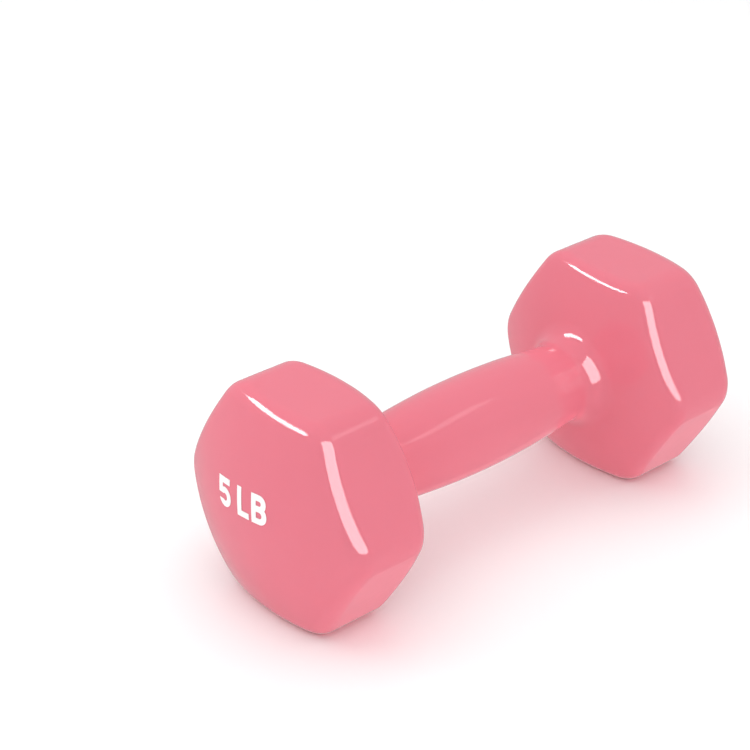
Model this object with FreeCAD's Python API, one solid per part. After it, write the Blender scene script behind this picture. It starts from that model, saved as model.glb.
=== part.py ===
"""Hexagonal dipped hand weight: a one-piece grey-iron casting in a thick glossy vinyl coat.

The foundry casts both heads and the grip in one piece, with a blind hole in the middle of one
end.  The casting hangs from that hole while it is dipped in liquid vinyl and baked, and a vinyl
plug closes the hole afterwards.  The weight is then printed on both ends.

Frame: +X runs along the grip to the plugged end, +Z is up, and the origin is on the floor under
the middle of the grip, so the weight lies on the lowest flat of each head.  Millimetres.
"""

import FreeCAD, Part
import math
import os

from FreeCAD import Vector

# ---- Driving dimensions, measured over the finished coat ------------------------------------
overall_length = 177.0          # from the crown of one end to the crown of the other
across_flats = 71.0             # of each hexagonal head
end_dome_radius = 77.5          # ball that each outer end face is part of
shoulder_gap = 104.5            # between the heads' inner rims, at the middle of a flat
shoulder_dome_radius = 76.0     # ball that each inner end face is part of
corner_round = 11.5             # the six long corners of a head
end_rim_round = 6.8             # where the flats meet a head's outer face
shoulder_rim_round = 5.5        # where the flats meet its inner face
grip_diameter = 30.5            # at the middle of the grip
grip_swell_radius = 290.0       # lengthwise arc of the grip's outline
root_fillet = 8.0               # where the grip runs into a head

coat_thickness = 1.5            # baked vinyl on the iron

# ---- The hole that the casting hangs from, and its plug --------------------------------------
hanger_hole_diameter = 6.0      # in the iron
hanger_hole_depth = 14.0        # below the crown of the iron
plug_head_diameter = 9.0        # seated in the coat and flush with it
plug_head_clearance = 0.15      # round the plug's head, on the radius
plug_tip_clearance = 1.5        # between the plug's tip and the bottom of the hole

# ---- The printed weight ----------------------------------------------------------------------
ink_thickness = 0.1
cap_height = 9.2
stroke = 1.9                    # width of a drawn line
letter_gap = 1.3
word_gap = 3.4
front_mark_offset = 2.7         # middle of the mark, beside the axis
front_mark_rise = 6.4           # middle of the mark, above the axis
front_mark_tilt = 6.0           # the pad printed it slightly turned, in degrees
back_mark_rise = 14.0           # clear of the plug

os.makedirs("parts", exist_ok=True)

AXIS = Vector(1, 0, 0)
SIDES = 6
half_length = overall_length / 2
axis_height = across_flats / 2
beyond = 5.0                    # how far a cutting tool reaches past what it cuts
past_end = half_length + beyond
head_middle = (half_length + shoulder_gap / 2) / 2


def middle(edge):
    """The point half way along an edge."""
    return edge.valueAt((edge.FirstParameter + edge.LastParameter) / 2)


def ball(radius, centre_x, seam_turn=0):
    """A sphere on the grip axis; the turn keeps its seam out of the surface that is used."""
    sphere = Part.makeSphere(radius, Vector(centre_x, 0, 0))
    sphere.rotate(Vector(centre_x, 0, 0), Vector(0, 0, 1), seam_turn)
    return sphere


def crosses(edge):
    """Whether the middle of an edge runs round the grip axis rather than along it."""
    return abs(edge.tangentAt((edge.FirstParameter + edge.LastParameter) / 2).x) < 0.5


def rod(diameter, x_from, x_to):
    """A round bar on the grip axis."""
    return Part.makeCylinder(diameter / 2, x_to - x_from, Vector(x_from, 0, 0), AXIS)


def hexagonal_bar(inset):
    """A bar with six flats and rounded corners, one flat facing down, inset from the surface."""
    radius = corner_round - inset
    centre_distance = (across_flats / 2 - corner_round) / math.cos(math.pi / SIDES)

    def point(side, normal):
        """Where the round of one corner meets the direction of a normal, both in turns."""
        corner = 2 * math.pi * side / SIDES
        facing = 2 * math.pi * normal / SIDES
        y = centre_distance * math.cos(corner) + radius * math.cos(facing)
        z = centre_distance * math.sin(corner) + radius * math.sin(facing)
        return Vector(0, y, z)

    outline = []
    for k in range(SIDES):
        arc = Part.Arc(point(k, k - 0.5), point(k, k), point(k, k + 0.5))
        flat = Part.LineSegment(point(k, k + 0.5), point(k + 1, k + 0.5))
        outline += [arc.toShape(), flat.toShape()]
    return Part.Face(Part.Wire(outline)).extrude(AXIS * past_end)


def head(inset):
    """The +X head: the bar between two balls, with its rims rounded."""
    shoulder_sag = shoulder_dome_radius - math.sqrt(shoulder_dome_radius ** 2 - axis_height ** 2)
    shoulder_centre = shoulder_gap / 2 - shoulder_sag + shoulder_dome_radius
    outer_end = ball(end_dome_radius - inset, half_length - end_dome_radius, 180)
    inner_end = ball(shoulder_dome_radius - inset, shoulder_centre)
    block = hexagonal_bar(inset).common(outer_end).common(inner_end).Solids[0]
    end_rims = [e for e in block.Edges if crosses(e) and middle(e).x > head_middle]
    block = block.makeFillet(end_rim_round - inset, end_rims).Solids[0]
    shoulder_rims = [e for e in block.Edges if crosses(e) and middle(e).x < head_middle]
    return block.makeFillet(shoulder_rim_round - inset, shoulder_rims).Solids[0]


def grip(inset):
    """The barrel-shaped grip, long enough to end inside both heads."""
    end_x = shoulder_gap / 2 + beyond
    swell = grip_swell_radius - inset
    radius = grip_diameter / 2 - inset
    end_radius = radius - swell + math.sqrt(swell ** 2 - end_x ** 2)
    start = Vector(-end_x, end_radius, 0)
    finish = Vector(end_x, end_radius, 0)
    outline = [
        Part.Arc(start, Vector(0, radius, 0), finish).toShape(),
        Part.LineSegment(finish, Vector(end_x, 0, 0)).toShape(),
        Part.LineSegment(Vector(end_x, 0, 0), Vector(-end_x, 0, 0)).toShape(),
        Part.LineSegment(Vector(-end_x, 0, 0), start).toShape(),
    ]
    return Part.Face(Part.Wire(outline)).revolve(Vector(0, 0, 0), AXIS, 360)


def weight_body(inset):
    """Both heads and the grip in one piece, inset from the finished surface."""
    right_head = head(inset)
    left_head = right_head.mirror(Vector(0, 0, 0), AXIS)
    body = grip(inset).fuse([right_head, left_head]).removeSplitter().Solids[0]
    roots = []
    for edge in body.Edges:
        where = middle(edge)
        on_grip = math.hypot(where.y, where.z) < grip_diameter / 2
        between_heads = 0 < abs(where.x) < shoulder_gap / 2
        if on_grip and between_heads and crosses(edge):
            roots.append(edge)
    return body.makeFillet(root_fillet + inset, roots).Solids[0]


# ---- The printed characters, as prisms from their lower left corner ---------------------------

def bar(left, bottom, width, height):
    """A rectangle."""
    return Part.makeBox(width, height, past_end, Vector(left, bottom, 0))


def disc(radius, x, y):
    """A circle."""
    return Part.makeCylinder(radius, past_end, Vector(x, y, 0))


def lobe(radius, left, bottom, straight):
    """A rectangle with a half-round right side."""
    return bar(left, bottom, straight, 2 * radius).fuse(disc(radius, left + straight, bottom + radius))


def numeral_five():
    """A flag, a short stem and an open bowl, with the character's width."""
    radius = cap_height * 0.335
    bowl = disc(radius, radius, radius).cut(disc(radius - stroke, radius, radius))
    bowl = bowl.cut(bar(0, radius - stroke / 2, radius, stroke))
    stem_foot = radius + stroke / 2
    stem = bar(0, stem_foot, stroke, cap_height - stem_foot)
    flag = bar(0, cap_height - stroke, radius * 1.84, stroke)
    return bowl.fuse([stem, flag]), 2 * radius


def letter_l():
    """A stem on a foot, with the character's width."""
    width = cap_height * 0.56
    return bar(0, 0, stroke, cap_height).fuse(bar(0, 0, width, stroke)), width


def letter_b():
    """Two lobes that share a stem and a middle bar, with the character's width."""
    lower = (cap_height + stroke) * 0.26
    upper = (cap_height + stroke) / 2 - lower
    straight = cap_height * 0.36
    waist = 2 * lower - stroke
    outline = lobe(lower, 0, 0, straight).fuse(lobe(upper, 0, waist, straight))
    lower_eye = lobe(lower - stroke, stroke, stroke, straight - stroke)
    upper_eye = lobe(upper - stroke, stroke, waist + stroke, straight - stroke)
    return outline.cut(lower_eye).cut(upper_eye), straight + lower


def printed(prism, shift, offset, rise, tilt, end):
    """The ink film of one character on an end dome; end is +1 or -1 along the grip."""
    prism.translate(Vector(shift, -cap_height / 2, 0))
    prism.rotate(Vector(0, 0, 0), Vector(0, 0, 1), tilt)
    prism.translate(Vector(offset, rise, 0))
    prism.rotate(Vector(0, 0, 0), Vector(1, 1, 1), 120)
    if end < 0:
        prism.rotate(Vector(0, 0, 0), Vector(0, 0, 1), 180)
    centre = end * (half_length - end_dome_radius)
    seam_turn = 180 if end > 0 else 0
    ink_face = ball(end_dome_radius + ink_thickness, centre, seam_turn)
    film = prism.common(ink_face).cut(ball(end_dome_radius, centre, seam_turn))
    return film.removeSplitter().Solids[0]


# ---- The pieces -------------------------------------------------------------------------------

iron_crown = half_length - coat_thickness
hole_bottom = iron_crown - hanger_hole_depth

iron = weight_body(coat_thickness)
outside = weight_body(0)

head_seat = rod(plug_head_diameter + 2 * plug_head_clearance, iron_crown - coat_thickness, past_end)
iron_core = iron.cut(rod(hanger_hole_diameter, hole_bottom, past_end))
vinyl_coat = outside.cut(iron).cut(head_seat)

plug_head = rod(plug_head_diameter, iron_crown - coat_thickness, past_end).common(outside).cut(iron)
plug_stem = rod(hanger_hole_diameter, hole_bottom + plug_tip_clearance, past_end).common(outside)
hanger_plug = plug_head.fuse(plug_stem).removeSplitter()

pieces = {
    "iron_core": iron_core,
    "vinyl_coat": vinyl_coat,
    "hanger_plug": hanger_plug,
}

characters = [("numeral_five", numeral_five), ("letter_l", letter_l), ("letter_b", letter_b)]
widths = [draw()[1] for name, draw in characters]
gaps = [0, word_gap, letter_gap]
mark_width = sum(widths) + sum(gaps)
ends = [
    ("front", -1, -front_mark_offset, front_mark_rise, front_mark_tilt),
    ("back", 1, 0, back_mark_rise, 0),
]
for end_name, end, offset, rise, tilt in ends:
    pen = -mark_width / 2
    for (name, draw), width, gap in zip(characters, widths, gaps):
        pen += gap
        pieces[f"{end_name}_{name}"] = printed(draw()[0], pen, offset, rise, tilt, end)
        pen += width

for name, shape in pieces.items():
    shape.translate(Vector(0, 0, axis_height))
    shape.exportStep(f"parts/{name}.step")
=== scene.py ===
"""A hexagonal vinyl-dipped hand weight on a pale studio floor.

Metres.  +X runs along the grip to the plugged end, +Z is up, and the weight lies on the lowest
flat of each head.  The pieces follow in the order that they are made: the iron casting, the coat
it is dipped in, the plug that closes its hanger hole, and the ink printed on its ends.
"""

import math

import bpy
import numpy as np
from mathutils import Matrix, Vector


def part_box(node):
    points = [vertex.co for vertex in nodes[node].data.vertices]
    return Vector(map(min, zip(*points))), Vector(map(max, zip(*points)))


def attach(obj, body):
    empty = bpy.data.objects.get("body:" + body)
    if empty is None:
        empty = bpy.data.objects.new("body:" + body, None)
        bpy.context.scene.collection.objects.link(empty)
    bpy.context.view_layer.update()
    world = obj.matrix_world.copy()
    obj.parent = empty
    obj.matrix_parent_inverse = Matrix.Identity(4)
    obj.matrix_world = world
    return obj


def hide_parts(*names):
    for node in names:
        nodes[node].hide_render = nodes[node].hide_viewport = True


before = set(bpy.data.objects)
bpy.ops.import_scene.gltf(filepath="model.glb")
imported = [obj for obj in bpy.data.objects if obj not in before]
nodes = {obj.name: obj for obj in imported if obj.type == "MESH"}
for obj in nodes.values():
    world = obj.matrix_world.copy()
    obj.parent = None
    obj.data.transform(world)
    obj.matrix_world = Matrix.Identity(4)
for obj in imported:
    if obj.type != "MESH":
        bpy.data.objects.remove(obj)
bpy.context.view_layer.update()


# ---- Iron core -------------------------------------------------------------------------------
# The grey-iron casting that gives the weight its mass: both heads and the grip poured in one
# piece in a sand mould, cleaned by shot blasting, and wholly hidden by the coat.

def new_material(name, colour, roughness, metallic=0.0):
    """A principled material with its node tree, its shader and the piece's own coordinates."""
    material = bpy.data.materials.new(name)
    material.use_nodes = True
    tree = material.node_tree
    shader = tree.nodes["Principled BSDF"]
    shader.inputs["Base Color"].default_value = (*colour, 1.0)
    shader.inputs["Roughness"].default_value = roughness
    shader.inputs["Metallic"].default_value = metallic
    place = tree.nodes.new("ShaderNodeTexCoord").outputs["Object"]
    return material, tree, shader, place


def grain(tree, place, size, detail=3.0, roughness=0.5):
    """A noise whose blotches are about one size across, in metres; its output runs from 0 to 1."""
    noise = tree.nodes.new("ShaderNodeTexNoise")
    noise.inputs["Scale"].default_value = 1.0 / size
    noise.inputs["Detail"].default_value = detail
    noise.inputs["Roughness"].default_value = roughness
    tree.links.new(place, noise.inputs["Vector"])
    return noise.outputs["Fac"]


def spread(tree, value, low, high, from_low=0.3, from_high=0.7):
    """A value stretched so that from_low becomes low and from_high becomes high."""
    stretch = tree.nodes.new("ShaderNodeMapRange")
    stretch.inputs["From Min"].default_value = from_low
    stretch.inputs["From Max"].default_value = from_high
    stretch.inputs["To Min"].default_value = low
    stretch.inputs["To Max"].default_value = high
    tree.links.new(value, stretch.inputs["Value"])
    return stretch.outputs["Result"]


def tint(tree, amount, first, second):
    """A colour that goes from first to second as amount goes from 0 to 1."""
    mix = tree.nodes.new("ShaderNodeMix")
    mix.data_type = "RGBA"
    mix.inputs["A"].default_value = (*first, 1.0)
    mix.inputs["B"].default_value = (*second, 1.0)
    tree.links.new(amount, mix.inputs["Factor"])
    return mix.outputs["Result"]


def bump(tree, shader, height, depth):
    """Raises the surface by up to depth, in metres, on top of any bump it has already."""
    node = tree.nodes.new("ShaderNodeBump")
    node.inputs["Distance"].default_value = depth
    node.inputs["Strength"].default_value = 1.0
    tree.links.new(height, node.inputs["Height"])
    if shader.inputs["Normal"].is_linked:
        tree.links.new(shader.inputs["Normal"].links[0].from_socket, node.inputs["Normal"])
    tree.links.new(node.outputs["Normal"], shader.inputs["Normal"])


def cover(piece, material):
    """Puts one material on the whole piece."""
    piece.data.materials.clear()
    piece.data.materials.append(material)


iron_grey = (0.085, 0.085, 0.09)
rust_brown = (0.13, 0.075, 0.05)
iron, tree, shader, place = new_material("cast_iron", iron_grey, roughness=0.62, metallic=0.85)
blotches = grain(tree, place, size=0.018, detail=4.0)
rust = spread(tree, blotches, 0.0, 1.0, from_low=0.52, from_high=0.72)
tree.links.new(tint(tree, rust, iron_grey, rust_brown), shader.inputs["Base Color"])
tree.links.new(spread(tree, blotches, 0.5, 0.75), shader.inputs["Roughness"])
sand_marks = grain(tree, place, size=0.0011, detail=5.0, roughness=0.65)
bump(tree, shader, sand_marks, depth=0.00025)
bump(tree, shader, grain(tree, place, size=0.006), depth=0.0004)
cover(nodes["iron_core"], iron)


# ---- Vinyl coat ------------------------------------------------------------------------------
# The thick glossy skin: the hot casting is dipped in liquid vinyl, drained and baked, so the coat
# wraps the heads and the grip without a seam and rounds every edge.  Its only opening is the seat
# of the plug, in the middle of the +X end.

coat_low, coat_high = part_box("vinyl_coat")
half_length = -coat_low[0]      # the plug seat cuts the crown off the other end
flat_distance = (coat_high[2] - coat_low[2]) / 2    # from the axis to each flat of a head
axis_height = coat_low[2] + flat_distance
end_dome_radius = 0.0775        # ball that each outer end face is part of
half_gap = 0.05225              # from the middle to a head's inner rim, at the middle of a flat
shoulder_dome_radius = 0.076    # ball that each inner end face is part of
corner_round = 0.0115           # the six long corners of a head
end_rim_round = 0.0068          # where the flats meet a head's outer face
shoulder_rim_round = 0.0055     # where the flats meet its inner face
grip_radius = 0.01525           # at the middle of the grip
grip_swell_radius = 0.290       # lengthwise arc of the grip's outline
root_fillet = 0.008             # where the grip runs into a head
coat_thickness = 0.0015
plug_seat_radius = 0.00465      # with clearance round the plug's head
seat_lip_round = 0.0003         # soft edge where the coat turns down into the seat
coat_waviness = 0.0001          # how unevenly the vinyl drained before it set
wave_length = 0.022             # typical distance between its thick places

# Rows and columns of the coat's surface, over one half.
corner_steps = 18               # round each long corner
flat_steps = 20                 # across each flat
dome_steps = 26                 # from the crown to the outer rim
round_steps = 18                # round each rim and the root
side_steps = 10                 # along a flat, from rim to rim
face_steps = 20                 # from the inner rim to the root
grip_steps = 26                 # from the root to the middle of the grip
lip_steps = 5
wall_row_skip = 3               # the hidden inside has every third row


def unit(angle):
    """The unit vectors (y, z) at these angles round the grip's axis."""
    return np.stack([np.cos(angle), np.sin(angle)], axis=-1)


def rounded_hexagon(inradius, corner_radius):
    """Points (y, z) and outward normals round a hexagon with rounded corners, one flat down.

    A corner is the arc of corner_radius about a centre on the line to the sharp corner, for the
    30 degrees either side of that line.  A flat is the straight blend from one arc's end to the
    next arc's start, and its normal is constant.
    """
    sixth = math.radians(60)
    corner = sixth * np.arange(6)[:, None]
    centre = (inradius - corner_radius) / math.cos(sixth / 2) * unit(corner)
    turn = sixth * (np.linspace(0, 1, corner_steps, endpoint=False) - 0.5)
    arc_normal = unit(corner + turn)
    arc = centre + corner_radius * arc_normal
    flat_normal = unit(corner + sixth / 2)
    start = centre + corner_radius * flat_normal
    finish = np.roll(centre, -1, axis=0) + corner_radius * flat_normal
    along = np.linspace(0, 1, flat_steps, endpoint=False)[None, :, None]
    flat = start + along * (finish - start)
    points = np.concatenate([arc, flat], axis=1).reshape(-1, 2)
    normals = np.concatenate([arc_normal, flat_normal + 0 * flat], axis=1).reshape(-1, 2)
    return points, normals


def with_x(x, yz):
    """Joins x to (y, z), each stretched to the other's shape."""
    x = np.asarray(x, float)[..., None]
    shape = np.broadcast_shapes(x.shape[:-1], yz.shape[:-1])
    return np.concatenate([np.broadcast_to(x, (*shape, 1)), np.broadcast_to(yz, (*shape, 2))], axis=-1)


def turning(first, second, steps):
    """Unit vectors that swing evenly from first to second, one row for each step, last left out."""
    angle = np.arccos(np.clip((first * second).sum(-1, keepdims=True), -1, 1))
    along = np.linspace(0, 1, steps, endpoint=False)[:, None, None]
    return (np.sin((1 - along) * angle) * first + np.sin(along * angle) * second) / np.sin(angle)


def circles_meet(first, first_reach, second, second_reach):
    """Where two circles in the (x, radius) plane cross, on the side away from the axis."""
    apart = second - first
    distance = np.hypot(*apart)
    ahead = (distance ** 2 + first_reach ** 2 - second_reach ** 2) / (2 * distance)
    aside = math.sqrt(first_reach ** 2 - ahead ** 2)
    ahead_unit = apart / distance
    crossings = first + ahead * ahead_unit + aside * np.array([[1, -1], [-1, 1]]) * ahead_unit[::-1]
    return crossings[np.argmax(crossings[:, 1])]


def ball_track(edge_round):
    """Where the middle of a ball of this radius rolls along the inside of the bar, going round it.

    It is the bar's outline moved in by the radius.  Gives its points (y, z), their distance from
    the axis, their directions from it, and the bar's outward normals there.
    """
    bar, bar_normal = rounded_hexagon(flat_distance - edge_round, corner_round - edge_round)
    reach = np.hypot(bar[:, 0], bar[:, 1])
    return bar, reach, bar / reach[:, None], with_x(np.zeros(len(bar)), bar_normal)


def half_coat(hole_radius):
    """Points and normals of the coat's +X half, as rows from the crown to the middle of the grip.

    Every rounded edge of a head is the track of a ball rolling inside it.  So the faces are first
    moved in by the ball's radius, and each point of the skin lies that far out along the normal:
    the end ball's on the dome, the bar's on the flats, the shoulder ball's on the inner face, and
    a normal swinging from one to the next where two faces meet.  The root is the arc of
    root_fillet that touches the shoulder ball and the arc of the grip, and the grip turns about
    the axis.  Columns follow the corners of the hexagon.
    """
    bar, reach, facing, flat_normal = ball_track(end_rim_round)
    end_centre = half_length - end_dome_radius
    end_core = end_dome_radius - end_rim_round
    hole_reach = hole_radius * end_core / end_dome_radius
    along = np.sin(np.linspace(0, math.pi / 2, dome_steps, endpoint=False))[:, None]
    dome_reach = hole_reach + along * (reach - hole_reach)
    dome_normal = with_x(np.sqrt(end_core ** 2 - dome_reach ** 2), dome_reach[..., None] * facing) / end_core
    dome = with_x(end_centre, np.zeros(2)) + end_dome_radius * dome_normal

    outer_track = np.sqrt(end_core ** 2 - reach ** 2)
    outer_edge = with_x(end_centre + outer_track, bar)
    outer_normal = turning(with_x(outer_track, bar) / end_core, flat_normal, round_steps)
    outer_rim = outer_edge + end_rim_round * outer_normal

    bar, reach, facing, flat_normal = ball_track(shoulder_rim_round)
    shoulder_core = shoulder_dome_radius - shoulder_rim_round
    shoulder_centre = half_gap + math.sqrt(shoulder_dome_radius ** 2 - flat_distance ** 2)
    inner_track = np.sqrt(shoulder_core ** 2 - reach ** 2)
    inner_edge = with_x(shoulder_centre - inner_track, bar)
    rim_normal = with_x(-inner_track, bar) / shoulder_core
    inner_normal = turning(flat_normal, rim_normal, round_steps)
    inner_rim = inner_edge + shoulder_rim_round * inner_normal

    across = np.linspace(0, 1, side_steps, endpoint=False)[:, None, None]
    flat_start = outer_edge + end_rim_round * flat_normal
    flat_end = inner_edge + shoulder_rim_round * flat_normal
    flats = flat_start + across * (flat_end - flat_start)
    flats_normal = flat_normal + 0 * flats

    grip_centre = np.array([0.0, grip_radius - grip_swell_radius])
    ball_centre = np.array([shoulder_centre, 0.0])
    root_centre = circles_meet(ball_centre, shoulder_dome_radius + root_fillet,
                               grip_centre, grip_swell_radius + root_fillet)
    on_ball = (root_centre - ball_centre) / (shoulder_dome_radius + root_fillet)
    on_grip = (root_centre - grip_centre) / (grip_swell_radius + root_fillet)

    rim_angle = np.arcsin(reach / shoulder_core)
    root_angle = math.asin(on_ball[1])
    along = np.linspace(0, 1, face_steps, endpoint=False)[:, None]
    angle = rim_angle + along * (root_angle - rim_angle)
    face_normal = with_x(-np.cos(angle), np.sin(angle)[..., None] * facing)
    inner_face = with_x(shoulder_centre, np.zeros(2)) + shoulder_dome_radius * face_normal

    swing = turning(on_ball[None], on_grip[None], round_steps)
    root_normal = with_x(swing[..., 0], swing[..., 1:] * facing)
    root_line = root_centre - root_fillet * swing
    root = with_x(root_line[..., 0], root_line[..., 1:] * facing)

    lean = np.linspace(math.asin(on_grip[0]), 0, grip_steps)[:, None]
    grip_line = grip_centre[1] + grip_swell_radius * np.cos(lean)
    grip_normal = with_x(np.sin(lean), np.cos(lean)[..., None] * facing)
    grip = with_x(grip_swell_radius * np.sin(lean), grip_line[..., None] * facing)

    points = [dome, outer_rim, flats, inner_rim, inner_face, root, grip]
    normals = [dome_normal, outer_normal, flats_normal, inner_normal, face_normal, root_normal, grip_normal]
    return np.concatenate(points), np.concatenate(normals)


def drained(points, size, waves=10, seed=7):
    """Height of a smooth unevenness at these points: sine waves of random direction and phase,
    between half and one and a half times size long, averaged and scaled to 0 to 1."""
    random = np.random.default_rng(seed)
    directions = random.normal(size=(waves, 3))
    directions /= np.linalg.norm(directions, axis=1, keepdims=True)
    lengths = size * random.uniform(0.5, 1.5, waves)
    phases = random.uniform(0, 6.28, waves)
    heights = np.sin(points @ (2 * math.pi * directions / lengths[:, None]).T + phases)
    return 0.5 + 0.5 * heights.mean(-1)


def closed_tube(name, rows, first_pole, last_pole):
    """A mesh of rings joined by quads, each end gathered to one point; rows is (ring, round, 3)."""
    rings, around = rows.shape[:2]
    vertices = np.concatenate([rows.reshape(-1, 3), first_pole[None], last_pole[None]])
    ring = np.arange(rings * around).reshape(rings, around)
    beside = np.roll(ring, -1, axis=1)
    quads = np.stack([ring[:-1], beside[:-1], beside[1:], ring[1:]], axis=-1).reshape(-1, 4)
    first_fan = np.stack([beside[0], ring[0], np.full(around, rings * around)], axis=-1)
    last_fan = np.stack([ring[-1], beside[-1], np.full(around, rings * around + 1)], axis=-1)
    mesh = bpy.data.meshes.new(name)
    mesh.from_pydata(vertices.tolist(), [], quads.tolist() + first_fan.tolist() + last_fan.tolist())
    mesh.polygons.foreach_set("use_smooth", np.ones(len(mesh.polygons), bool))
    mesh.validate()
    piece = bpy.data.objects.new(name, mesh)
    bpy.context.collection.objects.link(piece)
    return piece


marked_half, marked_normals = half_coat(0.0)
plugged_half, plugged_normals = half_coat(plug_seat_radius + seat_lip_round)
mirror = np.array([-1.0, 1.0, 1.0])
skin = np.concatenate([marked_half[:-1] * mirror, plugged_half[::-1]])
skin_normals = np.concatenate([marked_normals[:-1] * mirror, plugged_normals[::-1]])
wall = (skin - coat_thickness * skin_normals)[::-wall_row_skip]
skin = skin - coat_waviness * drained(skin, wave_length)[..., None] * skin_normals

lip_turn = np.linspace(0, math.pi / 2, lip_steps + 1)[1:, None]
lip_facing = skin[-1, :, 1:] / np.linalg.norm(skin[-1, :, 1:], axis=-1, keepdims=True)
lip_reach = plug_seat_radius + seat_lip_round * (1 - np.sin(lip_turn))
lip_drop = seat_lip_round * (1 - np.cos(lip_turn))
lip = with_x(skin[-1, :, 0] - lip_drop, lip_reach[..., None] * lip_facing)

rows = np.concatenate([skin[1:], lip, wall[:-1]]) + np.array([0, 0, axis_height])
crown = np.array([-half_length, 0, axis_height])
inner_crown = crown + np.array([coat_thickness, 0, 0])
coat = closed_tube("coat_skin", rows, crown, inner_crown)

vinyl_pink = (0.73, 0.18, 0.235)
light_pink = (0.74, 0.185, 0.24)
deep_pink = (0.72, 0.175, 0.23)
vinyl, tree, shader, place = new_material("dipped_vinyl", vinyl_pink, roughness=0.1)
mottle = grain(tree, place, size=0.03)
streaks = grain(tree, place, size=0.0035, detail=4.0)
tree.links.new(tint(tree, mottle, light_pink, deep_pink), shader.inputs["Base Color"])
tree.links.new(spread(tree, streaks, 0.06, 0.10), shader.inputs["Roughness"])
shader.inputs["IOR"].default_value = 1.5
shader.inputs["Subsurface Weight"].default_value = 0.12
shader.inputs["Subsurface Radius"].default_value = (1.0, 0.35, 0.3)
shader.inputs["Subsurface Scale"].default_value = 0.002
bump(tree, shader, grain(tree, place, size=0.0045, detail=2.0), depth=0.00003)
bump(tree, shader, grain(tree, place, size=0.0007, detail=2.0), depth=0.000003)
cover(coat, vinyl)
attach(coat, "root")
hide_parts("vinyl_coat")


# ---- Hanger plug -----------------------------------------------------------------------------
# A moulded vinyl peg, glued into the hole that the casting hung from.  Its head sits on the iron
# and comes flush with the end of the coat, so only a thin ring shows round it.

plug_low, plug_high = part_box("hanger_plug")
plug_head_radius = (plug_high[1] - plug_low[1]) / 2
plug_stem_radius = 0.003
plug_edge_round = 0.0004
plug_dish = 0.00012             # the head sank a little in its middle as it cooled
plug_tip_taper = 0.0008
plug_around = 96                # columns round the plug
dish_steps = 11                 # rows from the middle of its face to the rounded edge
edge_steps = 7                  # rows round that edge


def turned_profile(x, radius):
    """The rings of a profile (x, radius) turned about the grip's axis."""
    facing = unit(np.linspace(0, 2 * math.pi, plug_around, endpoint=False))
    return with_x(np.asarray(x)[:, None], np.asarray(radius)[:, None, None] * facing)


plug_face_radius = plug_head_radius - plug_edge_round
dish = np.linspace(0, 1, dish_steps + 1)[1:]
dish_radius = dish * plug_face_radius
face_x = half_length - end_dome_radius + np.sqrt(end_dome_radius ** 2 - dish_radius ** 2)
face_x -= plug_dish * np.cos(dish * math.pi / 2) ** 2
edge = np.linspace(0, math.pi / 2, edge_steps + 1)[1:]
edge_x = face_x[-1] - plug_edge_round * (1 - np.cos(edge))
edge_radius = plug_face_radius + plug_edge_round * np.sin(edge)
under_head = half_length - coat_thickness
under_radius = np.array([plug_head_radius, plug_stem_radius])
under_x = under_head - end_dome_radius + np.sqrt(end_dome_radius ** 2 - under_radius ** 2)
stem_x = np.array([plug_low[0] + plug_tip_taper, plug_low[0]])
stem_radius = np.array([plug_stem_radius, plug_stem_radius - plug_tip_taper])
profile_x = np.concatenate([face_x, edge_x, under_x, stem_x])
profile_radius = np.concatenate([dish_radius, edge_radius, under_radius, stem_radius])
rings = turned_profile(profile_x, profile_radius)[::-1] + np.array([0, 0, axis_height])
tip = np.array([plug_low[0], 0, axis_height])
dish_middle = np.array([half_length - plug_dish, 0, axis_height])
plug = closed_tube("plug_moulding", rings, tip, dish_middle)

plug_pink = (0.67, 0.16, 0.21)
light_plug_pink = (0.68, 0.165, 0.215)
deep_plug_pink = (0.66, 0.155, 0.205)
plug_vinyl, tree, shader, place = new_material("moulded_vinyl", plug_pink, roughness=0.38)
mould_marks = grain(tree, place, size=0.002)
tree.links.new(spread(tree, mould_marks, 0.32, 0.46), shader.inputs["Roughness"])
plug_mottle = grain(tree, place, size=0.004)
tree.links.new(tint(tree, plug_mottle, light_plug_pink, deep_plug_pink), shader.inputs["Base Color"])
bump(tree, shader, grain(tree, place, size=0.0005), depth=0.00001)
cover(plug, plug_vinyl)
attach(plug, "root")
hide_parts("hanger_plug")


# ---- Printed weight --------------------------------------------------------------------------
# The numeral and letters on both ends: white ink, pressed on by a soft pad and cured.  The film
# is a tenth of a millimetre thick, a little thin in places, and slightly rubbed.

ink_white = (0.92, 0.90, 0.90)
thin_ink = (0.86, 0.66, 0.68)   # the pink shows through
ink, tree, shader, place = new_material("white_ink", ink_white, roughness=0.45)
specks = grain(tree, place, size=0.0009, detail=3.0)
thin_places = spread(tree, specks, 0.0, 1.0, from_low=0.66, from_high=0.8)
tree.links.new(tint(tree, thin_places, ink_white, thin_ink), shader.inputs["Base Color"])
rubbed = grain(tree, place, size=0.0015)
tree.links.new(spread(tree, rubbed, 0.38, 0.52), shader.inputs["Roughness"])
bump(tree, shader, grain(tree, place, size=0.0004), depth=0.00001)
for end in ("front", "back"):
    for character in ("numeral_five", "letter_l", "letter_b"):
        cover(nodes[f"{end}_{character}"], ink)


# ---- Floor -----------------------------------------------------------------------------------
# A plain pale studio floor, six metres across.  It stays out of the gloss's reflections, and lets
# the light from below it through, as a lit glass table does.

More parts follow.
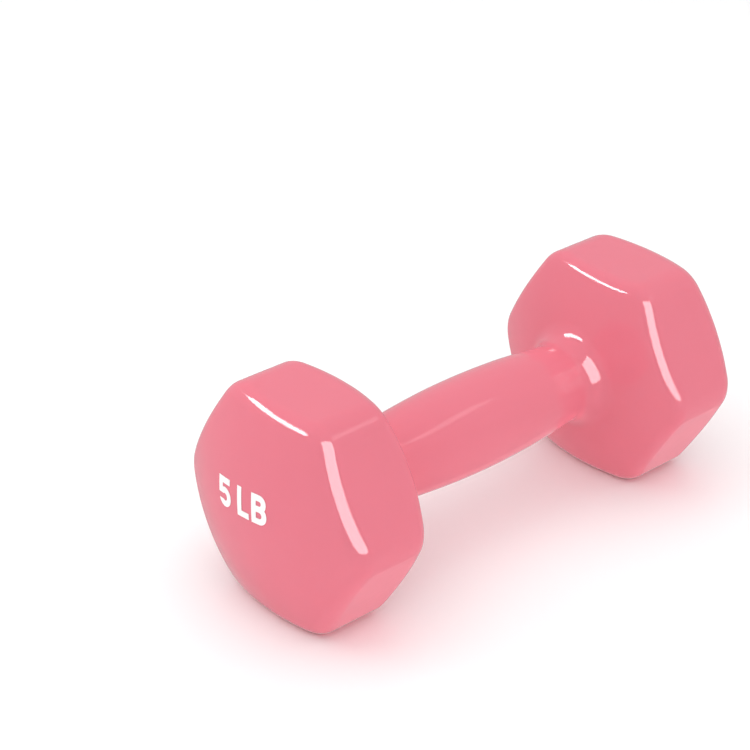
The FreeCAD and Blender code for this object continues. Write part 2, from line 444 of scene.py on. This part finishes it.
floor_size = 6.0
mesh = bpy.data.meshes.new("studio_floor")
corners = [(-1, -1), (1, -1), (1, 1), (-1, 1)]
mesh.from_pydata([(x * floor_size / 2, y * floor_size / 2, 0) for x, y in corners], [], [(0, 1, 2, 3)])
floor = bpy.data.objects.new("studio_floor", mesh)
bpy.context.collection.objects.link(floor)
paint, tree, shader, place = new_material("pale_floor", (0.9, 0.9, 0.9), roughness=0.7)
scuffs = grain(tree, place, size=0.05)
tree.links.new(spread(tree, scuffs, 0.65, 0.75), shader.inputs["Roughness"])
cover(floor, paint)
floor.visible_glossy = False
floor.visible_shadow = False


# ---- Light -----------------------------------------------------------------------------------
# A white room, dimmer straight below, where the weight shades the floor.  Three softboxes show only
# as reflections in the gloss: a large one in front to the left, a bright strip high up behind the
# marked end, and a dim one on a boom to the right.  The surfaces are lit by the room and by three
# fills: the ceiling, a small one off the marked end, and one under the floor.

room_strength = 0.55
shaded_strength = 0.4           # straight below
world = bpy.data.worlds.new("white_room")
world.use_nodes = True
tree = world.node_tree
room = tree.nodes["Background"]
room.inputs["Color"].default_value = (1.0, 1.0, 1.0, 1.0)
looking = tree.nodes.new("ShaderNodeTexCoord").outputs["Generated"]
split = tree.nodes.new("ShaderNodeSeparateXYZ")
tree.links.new(looking, split.inputs["Vector"])
upward = split.outputs["Z"]
strength = spread(tree, upward, shaded_strength, room_strength, from_low=-0.8, from_high=-0.65)
tree.links.new(strength, room.inputs["Strength"])
bpy.context.scene.world = world
bpy.context.scene.view_settings.view_transform = "Standard"


def softbox(name, azimuth, elevation, distance, width, height, radiance):
    """A rectangular light facing the middle of the weight; azimuth is from -Y towards +X."""
    turn, rise = math.radians(azimuth), math.radians(elevation)
    direction = Vector((math.sin(turn) * math.cos(rise), -math.cos(turn) * math.cos(rise), math.sin(rise)))
    light = bpy.data.lights.new(name, "AREA")
    light.shape = "RECTANGLE"
    light.size = width
    light.size_y = height
    light.energy = radiance * math.pi * width * height
    lamp = bpy.data.objects.new(name, light)
    lamp.location = direction * distance + Vector((0, 0, axis_height))
    lamp.rotation_euler = direction.to_track_quat("Z", "Y").to_euler()
    bpy.context.collection.objects.link(lamp)
    return lamp


# Azimuth and elevation in degrees, distance, width, height, radiance.
for card in (
    softbox("front_softbox", -21, 30, 0.6, 0.55, 0.66, 8.8),
    softbox("back_softbox", -136, 40, 0.86, 0.62, 0.155, 20.0),
    softbox("boom_softbox", 48, 50, 1.0, 0.36, 0.13, 1.3),
):
    card.visible_diffuse = False
for fill in (
    softbox("ceiling_fill", 0, 88, 1.2, 2.4, 2.4, 1.15),
    softbox("marked_end_fill", -130, 18, 0.5, 0.4, 0.35, 1.3),
    softbox("table_fill", 25, -50, 1.2, 2.4, 2.4, 1.0),
):
    fill.visible_glossy = False


# ---- Camera ----------------------------------------------------------------------------------
# Looks down on the marked end from the left, with a long lens.

azimuth = math.radians(-42.0)
elevation = math.radians(29.36)
roll = math.radians(0.8)
target = Vector((-0.0171, 0.0249, 0.0480))
distance = 0.695
camera_data = bpy.data.cameras.new("camera")
camera_data.sensor_width = 36.0
camera_data.lens = 107.7
camera = bpy.data.objects.new("camera", camera_data)
bpy.context.collection.objects.link(camera)
turn = Matrix.Rotation(azimuth, 4, "Z") @ Matrix.Rotation(math.pi / 2 - elevation, 4, "X")
turn = turn @ Matrix.Rotation(roll, 4, "Z")
camera.matrix_world = Matrix.Translation(target) @ turn @ Matrix.Translation((0, 0, distance))
bpy.context.scene.camera = camera
